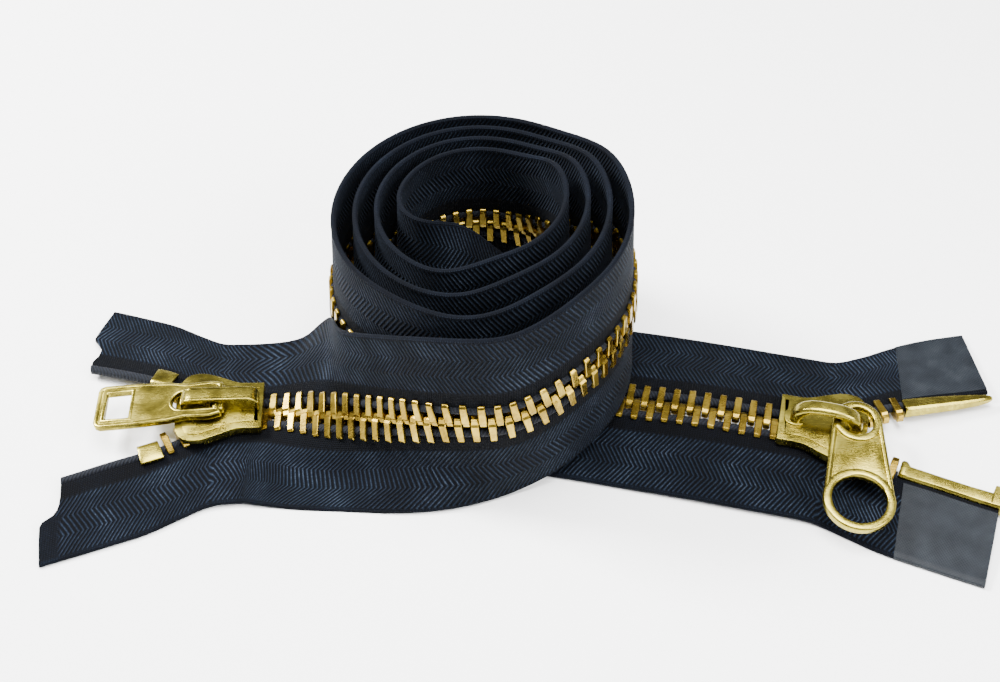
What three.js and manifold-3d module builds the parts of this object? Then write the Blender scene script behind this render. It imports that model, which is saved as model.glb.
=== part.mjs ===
// Two-way separating zipper, rolled on edge into a four-turn coil with both ends lying out flat.
// Units mm, +Z up, +X along the zipper's ends, origin under the middle of the whole part.
// Each tape half is a ribbon swept along the chain line: u runs from the chain line out to the
// selvage, n is the tape's face normal (up where it lies flat, outward in the coil).
import * as THREE from 'three';
import Module from 'manifold-3d';

const wasm = await Module();
wasm.setup();

// ---- tape, cord and teeth -------------------------------------------------------------------
const HALF = 21.4;          // chain line to selvage
const TAPE_T = 0.9;         // woven tape thickness
const TAPE_IN = 3.95;       // inner edge of the tape, just outside the bead cord
const END_TAPE_IN = 4.35;   // the same edge on the end flaps, whose weave is drawn askew
const CORD_U = 2.95;        // bead cord centre
const CORD_R = 0.8;
const TOOTH_T = 2.7;        // tooth thickness across the tape
const TOOTH_IN = 1.05;      // inside face of the two prongs that clamp the tape
const TOOTH_OUT = 4.7;      // prong ends
const BEND = 4.9;           // the tape halves bend beside the teeth, never under them
const FOLD = 12;            // and once more where the rising end curls onto the table
const TOOTH_THROAT = 1.75;  // where head and prongs meet
const ROW_HEAD = 0.4;       // the closed rows are plain strips with a gap between them
const TOOTH_HEAD = -0.9;    // head reaches past the chain line
const TOOTH_L = 1.5;        // along the chain
const PITCH = 3.15;
const REST = 0.47;          // height of a flat selvage's middle plane
const FLAT_Z = 3.0;         // height of the chain line where it runs through the sliders

// ---- coil -----------------------------------------------------------------------------------
const COIL_X = -4.6;
const COIL_Y = -7.2;
const COIL_Y_DRIFT = 1.1;   // per turn
const COIL_A = 32.1;        // half-widths of the spiral at its start
const COIL_B = 34.2;
const COIL_A_LOSS = 4.1;    // per turn
const COIL_B_LOSS = 4.5;
const COIL_LEAN = 87;       // roll of the standing wall, 90 is upright
const COIL_STEP = 15;       // degrees between stations
const COIL_FROM = -80;
const COIL_TO = 1240;
const COIL_DENT = 1.5;      // the second turn gives way where the first one starts
const DENT_AT = 235;
const WALL_LIFT = 4.6;      // walls ride over the tail that leaves under them

// ---- ends -----------------------------------------------------------------------------------
const PIVOT_A = [-58, -23.6];   // where the two halves part inside slider A
const PIVOT_B = [66, -28.4];
const HEAD_A = 182.3;           // outward direction of each end, degrees
const HEAD_B = -13.1;
const CUT = 0.2;                // half the gap between the coil's tapes and the end flaps
const CHAIN_CUT = 0.8;          // the chain rows stop this far short of the pivot

// ---- sliders --------------------------------------------------------------------------------
const PLATE_LOW = 0.9;      // top of the lower plate
const FLANGE_Z = 3.95;      // underside of the side flanges
const ROOF_Z = 4.75;        // underside of the upper plate
const TOP_Z = 5.95;         // top of the upper plate
const SLIDER_HALF = [
  [-9.6, 5.9], [-9.1, 6.0], [-4.6, 6.1], [-1.4, 7.4], [1.6, 8.6], [3.2, 8.9],
  [5.0, 8.8], [6.3, 8.1], [7.4, 6.4], [8.0, 3.6],
];
const FLANGE_TO = 5;        // number of outline points, from the tail, that carry a flange
const FLANGE_T = 0.8;
const WEDGE_FROM = 3.5;     // diamond between the two rows
const WEDGE_TO = 7.7;
const WEDGE_HALF = 1.2;

const rad = THREE.MathUtils.degToRad;
const vec = (x, y, z) => new THREE.Vector3(x, y, z);

function smooth(from, to, x) {
  return THREE.MathUtils.smoothstep(x, from, to);
}

// ---- solids ---------------------------------------------------------------------------------
function toManifold(geometry) {
  const seen = new Map();
  const verts = [];
  const remap = [];
  const pos = geometry.attributes.position;
  for (let i = 0; i < pos.count; i += 1) {
    const key = [pos.getX(i), pos.getY(i), pos.getZ(i)].map((v) => Math.round(v * 1e5)).join();
    if (!seen.has(key)) {
      seen.set(key, verts.length / 3);
      verts.push(pos.getX(i), pos.getY(i), pos.getZ(i));
    }
    remap.push(seen.get(key));
  }
  const index = geometry.index ? Array.from(geometry.index.array) : remap.map((_, i) => i);
  const tris = [];
  for (let i = 0; i < index.length; i += 3) {
    const [a, b, c] = [remap[index[i]], remap[index[i + 1]], remap[index[i + 2]]];
    if (a !== b && b !== c && c !== a) tris.push(a, b, c);
  }
  return new wasm.Manifold(new wasm.Mesh({
    numProp: 3,
    vertProperties: new Float32Array(verts),
    triVerts: new Uint32Array(tris),
  }));
}

function fromManifold(solid) {
  const mesh = solid.getMesh();
  const geometry = new THREE.BufferGeometry();
  geometry.setAttribute('position', new THREE.BufferAttribute(new Float32Array(mesh.vertProperties), 3));
  geometry.setIndex(Array.from(mesh.triVerts));
  return geometry.toNonIndexed();
}

// Closed polygon in plan, extruded from one height to another.
function prism(points, z0, z1) {
  const shape = new THREE.Shape(points.map(([x, y]) => new THREE.Vector2(x, y)));
  const geometry = new THREE.ExtrudeGeometry(shape, { depth: z1 - z0, bevelEnabled: false });
  geometry.translate(0, 0, z0);
  return toManifold(geometry);
}

function block(x0, x1, y0, y1, z0, z1) {
  return prism([[x0, y0], [x1, y0], [x1, y1], [x0, y1]], z0, z1);
}

// Polygon in the x-z plane, extruded in y.
function profile(points, halfWidth) {
  const flat = points.map(([x, z]) => [x, -z]);
  return prism(flat, -halfWidth, halfWidth).rotate([-90, 0, 0]);
}

function arc(cx, cy, r, from, to, count) {
  const points = [];
  for (let i = 0; i <= count; i += 1) {
    const a = rad(from + ((to - from) * i) / count);
    points.push([cx + r * Math.cos(a), cy + r * Math.sin(a)]);
  }
  return points;
}

function disc(cx, cy, r, z0, z1, sides = 24) {
  return prism(arc(cx, cy, r, 0, 360 * (1 - 1 / sides), sides - 1), z0, z1);
}

// Sweep a closed section, a list of [u, n] pairs, along stations { p, runs }. A run is
// { from, w, n }: the directions out and off the tape from that distance onward.
function sweep(section, stations) {
  const sides = section.length;
  const verts = [];
  for (const { p, runs } of stations) {
    for (const [u, n] of section) {
      const q = p.clone();
      let normal = runs[0].n;
      runs.forEach((run, i) => {
        const end = i + 1 < runs.length ? Math.min(u, runs[i + 1].from) : u;
        if (i > 0 && u <= run.from) return;
        q.addScaledVector(run.w, end - run.from);
        normal = run.n;
      });
      q.addScaledVector(normal, n);
      verts.push(q.x, q.y, q.z);
    }
  }
  const tris = [];
  for (let i = 0; i + 1 < stations.length; i += 1) {
    for (let j = 0; j < sides; j += 1) {
      const a = i * sides + j;
      const b = i * sides + ((j + 1) % sides);
      tris.push(a, b, b + sides, a, b + sides, a + sides);
    }
  }
  const outline = section.map(([u, n]) => new THREE.Vector2(u, n));
  const last = (stations.length - 1) * sides;
  for (const [a, b, c] of THREE.ShapeUtils.triangulateShape(outline, [])) {
    tris.push(a, c, b);
    tris.push(last + a, last + b, last + c);
  }
  let volume = 0;
  const at = (i) => vec(verts[3 * i], verts[3 * i + 1], verts[3 * i + 2]);
  for (let i = 0; i < tris.length; i += 3) {
    volume += at(tris[i]).dot(at(tris[i + 1]).cross(at(tris[i + 2])));
  }
  if (volume < 0) {
    for (let i = 0; i < tris.length; i += 3) {
      [tris[i + 1], tris[i + 2]] = [tris[i + 2], tris[i + 1]];
    }
  }
  const geometry = new THREE.BufferGeometry();
  geometry.setAttribute('position', new THREE.BufferAttribute(new Float32Array(verts), 3));
  geometry.setIndex(tris);
  return geometry.toNonIndexed();
}

// ---- sections -------------------------------------------------------------------------------
function tapeSection(from = TAPE_IN) {
  const h = TAPE_T / 2;
  const marks = [from, BEND, FOLD, HALF];
  return [...marks.map((u) => [u, -h]), ...marks.reverse().map((u) => [u, h])];
}
const cordSection = (sides) => arc(CORD_U, 0, CORD_R, 0, 360 * (1 - 1 / sides), sides - 1);
// A head with two prongs reaching back over the cord and the tape edge.
function clampSection(head, reach = TOOTH_OUT, thick = TOOTH_T) {
  const h = thick / 2;
  return [
    [head, -h], [reach, -h], [reach, -TOOTH_IN], [TOOTH_THROAT, -TOOTH_IN],
    [TOOTH_THROAT, TOOTH_IN], [reach, TOOTH_IN], [reach, h], [head, h],
  ];
}

// ---- the chain line from slider A, round the coil, to slider B --------------------------------
// Each row: x, y, height, then the rolls of the teeth, the near tape, its outer part past the
// fold, the far tape and its outer part.
function chainLine() {
  const tilt = Math.asin((FLAT_Z - REST) / HALF) * THREE.MathUtils.RAD2DEG;
  const under = 3.5;
  const underZ = REST + HALF * Math.sin(rad(under));
  const rows = [
    [...PIVOT_A, FLAT_Z, 0, tilt, tilt, -tilt, -tilt],
    [-47.2, -23.3, 3.05, 0, 7.7, 7.7, -4, -4],
    [-43.6, -24.1, 4.1, 5, 12, 7, 0, 4],
    [-40, -25.2, 5.4, 14, 18, 7, 22, 76],
    [-35.3, -27.4, 7.6, 34, 29, 6, 74, 88],
    [-28.9, -30.6, 11, 54, 52, 5, 86, 89],
    [-22.8, -33.8, 14.2, 68, 69, 15, 87, 88],
    [-16.8, -37, 17.7, 76, 78, 35, 88, 88],
    [-11, -39.4, 20.2, 82, 83, 55, 88, 88],
    [-5, -40.8, 21.5, 85, 86, 73, 88, 88],
  ];
  const wallZ = 0.1 + HALF * Math.sin(rad(COIL_LEAN));
  for (let angle = COIL_FROM; angle <= COIL_TO; angle += COIL_STEP) {
    const turns = (angle + 90) / 360;
    const turn = Math.floor((angle + 140) / 360);
    const local = angle - 360 * turn;
    const start = -(85 + 10 * turn);
    const lift = WALL_LIFT * smooth(start, start + 40, local) * (1 - smooth(20, 60, local));
    const dent = COIL_DENT * Math.exp(-(((angle - DENT_AT) / 25) ** 2));
    rows.push([
      COIL_X + (COIL_A - COIL_A_LOSS * turns - dent) * Math.cos(rad(angle)),
      COIL_Y + COIL_Y_DRIFT * turns + (COIL_B - COIL_B_LOSS * turns - dent) * Math.sin(rad(angle)),
      wallZ + lift, ...Array(5).fill(COIL_LEAN),
    ]);
  }
  // The inmost turn leans over, lies down and leaves to the right under the walls.
  const descent = [
    [-21.2, -3.6, 87], [-18.8, -9.4, 84], [-13.8, -13, 73], [-8, -14, 54],
    [-2, -14.4, 34], [4, -15, 16],
  ];
  for (const [x, y, roll] of descent) {
    rows.push([x, y, REST + HALF * Math.sin(rad(roll)), ...Array(5).fill(roll)]);
  }
  rows.push([9.5, -15.8, REST + HALF * Math.sin(rad(5)), 3, 5.5, 5.5, 0, 0]);
  rows.push([15, -16.8, underZ, 0, under, under, -under, -under]);
  rows.push([28.6, -19.7, underZ, 0, under, under, -under, -under]);
  for (const [x, y] of [[41.6, -22.7], [54.3, -25.7], PIVOT_B]) {
    rows.push([x, y, FLAT_Z, 0, tilt, tilt, -tilt, -tilt]);
  }
  return rows;
}

// Frames of one tape half along the chain line, side +1 the far half, -1 the near half.
function chainStations(side, endGap) {
  const rows = chainLine();
  const points = rows.map((r) => vec(r[0], r[1], r[2]));
  const first = points[0];
  const last = points[points.length - 1];
  first.addScaledVector(points[1].clone().sub(first).normalize(), endGap);
  last.addScaledVector(points[points.length - 2].clone().sub(last).normalize(), endGap);
  return rows.map((row, i) => {
    const ahead = points[Math.min(i + 1, points.length - 1)];
    const t = ahead.clone().sub(points[Math.max(i - 1, 0)]).normalize();
    const h = vec(-t.y, t.x, 0).normalize();
    const run = (from, roll) => {
      const w = h.clone().multiplyScalar(Math.cos(rad(roll)));
      w.z = Math.sin(rad(roll));
      return { from, w: w.clone().multiplyScalar(side), n: t.clone().cross(w).normalize() };
    };
    const k = side > 0 ? 6 : 4;
    return { p: points[i], runs: [run(0, row[3]), run(BEND, row[k]), run(FOLD, row[k + 1])] };
  });
}

// ---- end flaps ------------------------------------------------------------------------------
// A flap leaves its pivot at the angle spread from the outward direction, and turns to the angle
// settle once it is clear of the slider. square says how far the tape's cut end leans.
const TURN_FROM = 9;
const TURN_TO = 18;
const LEAN_FROM = 6;
const LEAN_TO = 34;

function flapFrame(end, side, d) {
  const turnAt = (x) => end.spread + (end.settle - end.spread) * smooth(TURN_FROM, TURN_TO, x);
  const p = vec(...end.pivot, FLAT_Z - 0.7 * smooth(20, 34, d));
  const steps = Math.ceil(d);
  for (let i = 0; i < steps; i += 1) {
    const a = rad(end.head + side * turnAt(((i + 0.5) * d) / steps));
    p.x += (Math.cos(a) * d) / steps;
    p.y += (Math.sin(a) * d) / steps;
  }
  const dir = rad(end.head + side * turnAt(d));
  const across = rad(end.head + side * (90 + end.square * smooth(LEAN_FROM, LEAN_TO, d)));
  const square = rad(end.head + side * (90 + turnAt(d)));
  const tilt = Math.asin((p.z - REST) / HALF);
  const lay = (angle) => vec(
    Math.cos(angle) * Math.cos(tilt), Math.sin(angle) * Math.cos(tilt), -Math.sin(tilt),
  );
  const out = vec(Math.cos(dir), Math.sin(dir), 0);
  const upFrom = (w) => out.clone().cross(w).multiplyScalar(side).normalize();
  const w = lay(across);
  const wSquare = lay(square);
  return { p, w, n: upFrom(w), wSquare, nSquare: upFrom(wSquare) };
}

function flapStations(end, side, from, to, step = 5, isSquare = false) {
  const count = Math.max(1, Math.round((to - from) / step));
  const stations = [];
  for (let i = 0; i <= count; i += 1) {
    const f = flapFrame(end, side, from + ((to - from) * i) / count);
    const run = isSquare ? { from: 0, w: f.wSquare, n: f.nSquare } : { from: 0, w: f.w, n: f.n };
    stations.push({ p: f.p, runs: [run] });
  }
  return stations;
}

// ---- sliders, drawn with x toward the mouth and the pivot at the origin -----------------------
function mirrored(half) {
  const below = half.map(([x, y]) => [x, -y]);
  return [...below, ...half.slice().reverse()];
}

function sliderShell() {
  const outline = mirrored(SLIDER_HALF);
  let body = prism(outline, 0, PLATE_LOW).add(prism(outline, ROOF_Z, TOP_Z));
  const outer = SLIDER_HALF.slice(0, FLANGE_TO + 1);
  const inner = outer.map(([x, y]) => [x, y - FLANGE_T]).reverse();
  const flange = prism([...outer, ...inner], FLANGE_Z, ROOF_Z + 0.2);
  body = body.add(flange).add(flange.mirror([0, 1, 0]));
  const wedge = [[WEDGE_FROM, 0], [WEDGE_TO, -WEDGE_HALF], [WEDGE_TO, WEDGE_HALF]];
  return body.add(prism(wedge, PLATE_LOW - 0.2, ROOF_Z + 0.2));
}

const CAP_W = 3.4;
const CAP_WALL = 0.7;
const CAP_FROM = -9;
const CAP_TO = 6.6;
const CAP_LOW = TOP_Z + 0.25;
const CAP_TOP = 9.9;
const TRUNNION = [-0.5, 7.9];     // x and z of the pull's axle in slider A
const AXLE_R = 0.85;
const PIN_X = -5.2;
const PIN_HALF = [0.8, 0.5];

function sliderABody() {
  const lugHalf = CAP_W / 2 - CAP_WALL - 0.3;
  const inset = CAP_WALL + 0.3;
  const frontLug = block(CAP_TO - inset - 2, CAP_TO - inset, -lugHalf, lugHalf, TOP_Z - 0.2, 8.4);
  const rearLug = block(CAP_FROM + inset, CAP_FROM + inset + 1.4, -lugHalf, lugHalf, TOP_Z - 0.2, 8.4);
  const hole = block(
    PIN_X - PIN_HALF[0] - 0.3, PIN_X + PIN_HALF[0] + 0.3,
    -PIN_HALF[1] - 0.3, PIN_HALF[1] + 0.3, ROOF_Z - 0.3, TOP_Z + 0.3,
  );
  return sliderShell().add(frontLug).add(rearLug).subtract(hole);
}

function sliderACap() {
  const side = [
    [CAP_FROM, CAP_LOW], [CAP_TO, CAP_LOW], [CAP_TO, 8.6], [CAP_TO - 0.9, 9.6],
    [CAP_TO - 2.2, CAP_TOP], [CAP_FROM + 2.2, CAP_TOP], [CAP_FROM + 0.9, 9.6], [CAP_FROM, 8.6],
  ];
  const inner = CAP_W / 2 - CAP_WALL;
  const hollow = block(
    CAP_FROM + CAP_WALL, CAP_TO - CAP_WALL, -inner, inner, CAP_LOW - 1, CAP_TOP - CAP_WALL,
  );
  const axle = profile(arc(TRUNNION[0], TRUNNION[1], AXLE_R + 0.3, 0, 330, 11), CAP_W);
  return profile(side, CAP_W / 2).subtract(hollow).subtract(axle);
}

function lockPin() {
  const [a, b] = PIN_HALF;
  return block(PIN_X - a, PIN_X + a, -b, b, ROOF_Z - 0.1, 8.3);
}

const PULL_A = { length: 24.6, half: 5.5, thick: 1.5, slope: 4.5 };
function pullA() {
  const { length, half, thick, slope } = PULL_A;
  const t = thick / 2;
  const outline = [
    [-1.2, -4.1], [0.9, -4.6], [6, -4.3], [10, -5.2], [length - 1.6, -half], [length, -half + 1.6],
    [length, half - 1.6], [length - 1.6, half], [10, 5.2], [6, 4.3], [0.9, 4.6], [-1.2, 4.1],
  ];
  const fork = [
    [-3, -2.4], [6.6, -2.4], ...arc(6.6, 0, 2.4, -60, 60, 6), [6.6, 2.4], [-3, 2.4],
  ];
  const window = [
    [length - 7, -3.5], [length - 2, -3.5], [length - 2, 3.5], [length - 7, 3.5],
  ];
  const axle = profile(arc(0, 0, AXLE_R, 0, 330, 11), 3);
  return prism(outline, -t, t)
    .subtract(prism(fork, -2, 2))
    .subtract(prism(window, -2, 2))
    .add(axle)
    .rotate([0, slope, 0])
    .translate([TRUNNION[0], 0, TRUNNION[1]]);
}

const ARCH_OUTER = [
  [-7.6, 5.8], [-7.3, 8.2], [-5.6, 10.3], [-2.6, 11.2], [2, 11.2], [4.9, 10.3], [6.7, 8.2], [7, 5.8],
];
const ARCH_INNER = [
  [4.2, 5.8], [4, 7.8], [2.9, 9.1], [0.8, 9.6], [-2.6, 9.6], [-4.4, 9], [-5.2, 7.6], [-5.4, 5.8],
];
const LEG_X = 5.6;                // the bridge leg the pull hangs round
function sliderBBody() {
  return sliderShell().add(profile([...ARCH_OUTER, ...ARCH_INNER], 1.6));
}

const PULL_B = {
  eye: 4.9, eyeHole: 3.2, ringAt: 18.3, ring: 7, ringHole: 5.25, thick: 1.7, z: 7.85,
  slope: 5.6, turn: -84,
};
function pullB() {
  const b = PULL_B;
  const t = b.thick / 2;
  const outline = [...arc(0, 0, b.eye, 100, 260, 8), ...arc(b.ringAt, 0, b.ring, -105, 105, 14)];
  const panel = [[6.1, -3.2], [11.2, -4.4], [11.2, 4.4], [6.1, 3.2]];
  return prism(outline, -t, t)
    .subtract(disc(0, 0, b.eyeHole, -2, 2, 20))
    .subtract(disc(b.ringAt, 0, b.ringHole, -2, 2, 24))
    .subtract(prism(panel, t - 0.35, 2))
    .subtract(prism(panel, -2, 0.35 - t))
    .rotate([0, b.slope, 0])
    .rotate([0, 0, b.turn])
    .translate([LEG_X, 0, b.z]);
}

// ---- materials ------------------------------------------------------------------------------
const paint = (color, metalness, roughness) => ({ color, metalness, roughness });
const TAPE = paint(0x1c2434, 0, 0.9);
const CORD = paint(0x10141d, 0, 0.9);
const TEETH = paint(0xc8965a, 1, 0.3);
const CAST = paint(0xc9b866, 1, 0.28);
const FILM = paint(0x5c646e, 0, 0.35);

const part = new THREE.Group();
part.name = 'zipper';
function put(name, geometry, look) {
  geometry.computeVertexNormals();
  const mesh = new THREE.Mesh(geometry, new THREE.MeshStandardMaterial(look));
  mesh.name = name;
  part.add(mesh);
}

// ---- the closed chain -----------------------------------------------------------------------
const SIDES = [[1, 'far'], [-1, 'near']];
for (const [side, word] of SIDES) {
  put(`tape_${word}`, sweep(tapeSection(), chainStations(side, CUT)), TAPE);
  put(`bead_cord_${word}`, sweep(cordSection(4), chainStations(side, CHAIN_CUT)), CORD);
  put(`tooth_row_${word}`, sweep(clampSection(ROW_HEAD), chainStations(side, CHAIN_CUT)), TEETH);
}

// ---- end flaps with their own teeth, stops and pins -------------------------------------------
const END_A = { pivot: PIVOT_A, head: HEAD_A };
const END_B = { pivot: PIVOT_B, head: HEAD_B };
const FAR_TOOTH = 3.85;                   // first tooth outside each slider
const NEAR_TOOTH = FAR_TOOTH + PITCH / 2;
const teethFrom = (first, count) => Array.from({ length: count }, (_, i) => first + i * PITCH);
const FLAPS = [
  {
    name: 'a_far', end: { ...END_A, spread: 29, settle: 17, square: 8 }, side: -1, length: 32.5,
    teeth: teethFrom(FAR_TOOTH, 3), stop: [12.6, 16.7], cordTo: 32.5,
  },
  {
    name: 'a_near', end: { ...END_A, spread: 29, settle: 18, square: 3 }, side: 1, length: 33.5,
    teeth: teethFrom(NEAR_TOOTH, 3), stop: [13.2, 17.4], cordTo: 33.5,
  },
  {
    name: 'b_far', end: { ...END_B, spread: 30, settle: 23, square: 18 }, side: 1, length: 37,
    teeth: teethFrom(FAR_TOOTH, 5), film: 17.5, cordTo: 17.6,
  },
  {
    name: 'b_near', end: { ...END_B, spread: 18, settle: 9, square: 7 }, side: -1, length: 36,
    teeth: teethFrom(NEAR_TOOTH, 4), film: 17, cordTo: 15.6,
  },
];

for (const flap of FLAPS) {
  const { name, end, side, length } = flap;
  put(`tape_end_${name}`, sweep(tapeSection(END_TAPE_IN), flapStations(end, side, CUT, length)), TAPE);
  put(
    `cord_end_${name}`,
    sweep(cordSection(6), flapStations(end, side, CHAIN_CUT + 1.5, flap.cordTo, 8, true)), CORD,
  );
  flap.teeth.forEach((d, i) => {
    const ends = flapStations(end, side, d - TOOTH_L / 2, d + TOOTH_L / 2, 5, true);
    put(`tooth_${name}_${i + 1}`, sweep(clampSection(TOOTH_HEAD), ends), TEETH);
  });
  if (flap.stop) {
    const ends = flapStations(end, side, flap.stop[0], flap.stop[1], 5, true);
    put(`top_stop_${name}`, sweep(clampSection(0.6, 5, 2.9), ends), CAST);
  }
  if (flap.film) {
    const sheet = [[BEND, 0.75], [HALF, 0.75], [HALF, 1], [BEND, 1]];
    put(`end_film_${name}`, sweep(sheet, flapStations(end, side, flap.film, length, 8)), FILM);
  }
}

const PIN_IN = 0.5;
const PIN_OUT = 3.65;
const PIN_T = 1.4;
function pinSection(inner, outer, half) {
  return [[inner, -half], [outer, -half], [outer, half], [inner, half]];
}
function pinStations(flap, marks) {
  return marks.map((d) => flapStations(flap.end, flap.side, d, d + 1, 5, true)[0]);
}
const farB = FLAPS[2];
const nearB = FLAPS[3];
put(
  'insertion_pin',
  sweep(pinSection(PIN_IN, PIN_OUT, PIN_T), pinStations(farB, [18.1, 24, 37.6])), CAST,
);
const retainer = toManifold(
  sweep(pinSection(PIN_IN, PIN_OUT, PIN_T), pinStations(nearB, [16.1, 24, 36.6])),
).add(toManifold(
  sweep(pinSection(-1.6, PIN_OUT + 0.1, PIN_T + 0.2), pinStations(nearB, [34.4, 37.4])),
));
put('retaining_pin', fromManifold(retainer), CAST);

// ---- sliders and pulls ----------------------------------------------------------------------
function place(solid, end) {
  return fromManifold(solid.rotate([0, 0, end.head]).translate([...end.pivot, 0]));
}
put('slider_a_body', place(sliderABody(), END_A), CAST);
put('slider_a_cap', place(sliderACap(), END_A), CAST);
put('slider_a_lock_pin', place(lockPin(), END_A), CAST);
put('slider_a_pull', place(pullA(), END_A), CAST);
put('slider_b_body', place(sliderBBody(), END_B), CAST);
put('slider_b_pull', place(pullB(), END_B), CAST);

// Centre the origin under the whole part.
const box = new THREE.Box3().setFromObject(part);
const shift = vec(-(box.min.x + box.max.x) / 2, -(box.min.y + box.max.y) / 2, -box.min.z);
for (const mesh of part.children) mesh.geometry.translate(shift.x, shift.y, shift.z);

export default part;
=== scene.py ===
"""The looks of a heavy two-way zipper rolled on edge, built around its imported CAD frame.

Lengths are written in millimetres, in the CAD's layout before it was centred, and are turned into
metres and moved onto the frame by place(). Each tape half is a ribbon along the chain line: u runs
from the chain line to the selvage, n is the tape's face normal.
"""
import math

import bmesh
import bpy
import numpy as np
from mathutils import Matrix, Vector


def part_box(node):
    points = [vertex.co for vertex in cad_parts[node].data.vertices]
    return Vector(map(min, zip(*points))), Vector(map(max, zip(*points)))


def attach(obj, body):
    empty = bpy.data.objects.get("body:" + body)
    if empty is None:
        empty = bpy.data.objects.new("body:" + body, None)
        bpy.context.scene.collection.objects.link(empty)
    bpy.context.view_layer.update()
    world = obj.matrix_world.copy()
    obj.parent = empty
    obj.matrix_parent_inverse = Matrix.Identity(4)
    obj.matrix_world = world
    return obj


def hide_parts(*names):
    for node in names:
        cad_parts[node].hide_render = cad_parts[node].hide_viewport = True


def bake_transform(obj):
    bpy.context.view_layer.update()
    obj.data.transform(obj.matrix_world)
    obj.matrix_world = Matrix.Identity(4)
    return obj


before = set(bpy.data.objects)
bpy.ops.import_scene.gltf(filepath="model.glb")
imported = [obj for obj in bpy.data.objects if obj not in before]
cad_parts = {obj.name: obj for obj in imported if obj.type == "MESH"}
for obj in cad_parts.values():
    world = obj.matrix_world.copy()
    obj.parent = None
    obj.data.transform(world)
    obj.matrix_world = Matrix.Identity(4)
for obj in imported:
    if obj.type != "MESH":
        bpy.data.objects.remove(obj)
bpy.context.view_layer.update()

MM = 0.001

# ---- tape, cord and teeth, as in the CAD -----------------------------------------------------
HALF = 21.4
TAPE_IN = 3.6
BEND, FOLD = 4.9, 12
CORD_U = 2.95
CORD_R = 0.95
TOOTH_T = 2.7
TOOTH_L = 1.55
TOOTH_OUT = 4.7
TOOTH_HEAD = -0.95
PITCH = 3.15
REST = 0.47
FLAT_Z = 3.0

COIL_X, COIL_Y, COIL_Y_DRIFT = -4.6, -7.2, 1.1
COIL_A, COIL_B = 32.1, 34.2
COIL_A_LOSS, COIL_B_LOSS = 4.1, 4.5
COIL_LEAN = 87
COIL_FROM, COIL_TO, COIL_STEP = -80, 1240, 15
COIL_DENT, DENT_AT = 1.5, 235
WALL_LIFT = 4.6

PIVOT_A, HEAD_A = (-58.0, -23.6), 182.3
PIVOT_B, HEAD_B = (66.0, -28.4), -13.1
TILT = math.degrees(math.asin((FLAT_Z - REST) / HALF))

# Each end flap: side (+1 is left of the outward direction), turn from that direction beside the
# slider and past it, turn of its cut edge, length, and places along the bead line.
ENDS = {
    "a_far": dict(pivot=PIVOT_A, head=HEAD_A, side=-1, spread=29, settle=17, square=8, length=32.5,
                  teeth=(0.7, 3.85, 7.0, 10.15), stop=(12.6, 16.7), cord_to=32.5),
    "a_near": dict(pivot=PIVOT_A, head=HEAD_A, side=1, spread=29, settle=18, square=3, length=33.5,
                   teeth=(2.275, 5.425, 8.575, 11.725), stop=(13.2, 17.4), cord_to=33.5),
    "b_far": dict(pivot=PIVOT_B, head=HEAD_B, side=1, spread=30, settle=23, square=18, length=37,
                  teeth=(0.7, 3.85, 7.0, 10.15, 13.3, 16.45), film=17.5, cord_to=17.6),
    "b_near": dict(pivot=PIVOT_B, head=HEAD_B, side=-1, spread=18, settle=9, square=7, length=36,
                   teeth=(2.275, 5.425, 8.575, 11.725, 14.875), film=17, cord_to=15.6),
}

# ---- sliders, drawn with x toward the mouth and the pivot at the origin -------------------------
PLATE_LOW, FLANGE_Z, ROOF_Z, TOP_Z = 0.9, 3.95, 4.75, 5.95
SLIDER_HALF = [
    (-9.6, 5.9), (-9.1, 6.0), (-4.6, 6.1), (-1.4, 7.4), (1.6, 8.6), (3.2, 8.9),
    (5.0, 8.8), (6.3, 8.1), (7.4, 6.4), (8.0, 3.6),
]
TRUNNION = (-0.5, 7.9)
PULL_A_SLOPE = 4.5
LEG_X = 5.6
PULL_B = dict(eye=4.9, eye_hole=3.2, ring_at=18.3, ring=7.0, ring_hole=5.25, z=7.85, slope=5.6,
              turn=-84)

# ---- camera: elevation, distance and focal length in pixels of a 1000-pixel-wide view -----------
VIEW_ELEVATION = 47
VIEW_DISTANCE = 326
VIEW_FOCAL = 1500
VIEW_WIDTH = 1000


def rad(degrees):
    return math.radians(degrees)


def smooth(start, end, x):
    f = min(1.0, max(0.0, (x - start) / (end - start)))
    return f * f * (3 - 2 * f)


def eases(start, end, values):
    return np.array([smooth(start, end, x) for x in values])


def turned(x, y, degrees):
    a = rad(degrees)
    return x * math.cos(a) - y * math.sin(a), x * math.sin(a) + y * math.cos(a)


def find_shift():
    """The CAD moved the part so that its box is centred: the lock pin shows by how much."""
    low, high = (Vector(v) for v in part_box("slider_a_lock_pin"))
    middle = (low + high) / 2 / MM
    dx, dy = turned(-5.2, 0, HEAD_A)
    return Vector((middle.x - PIVOT_A[0] - dx, middle.y - PIVOT_A[1] - dy, 0))


SHIFT = find_shift()


def place(point):
    return (Vector(point) + SHIFT) * MM


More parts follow.
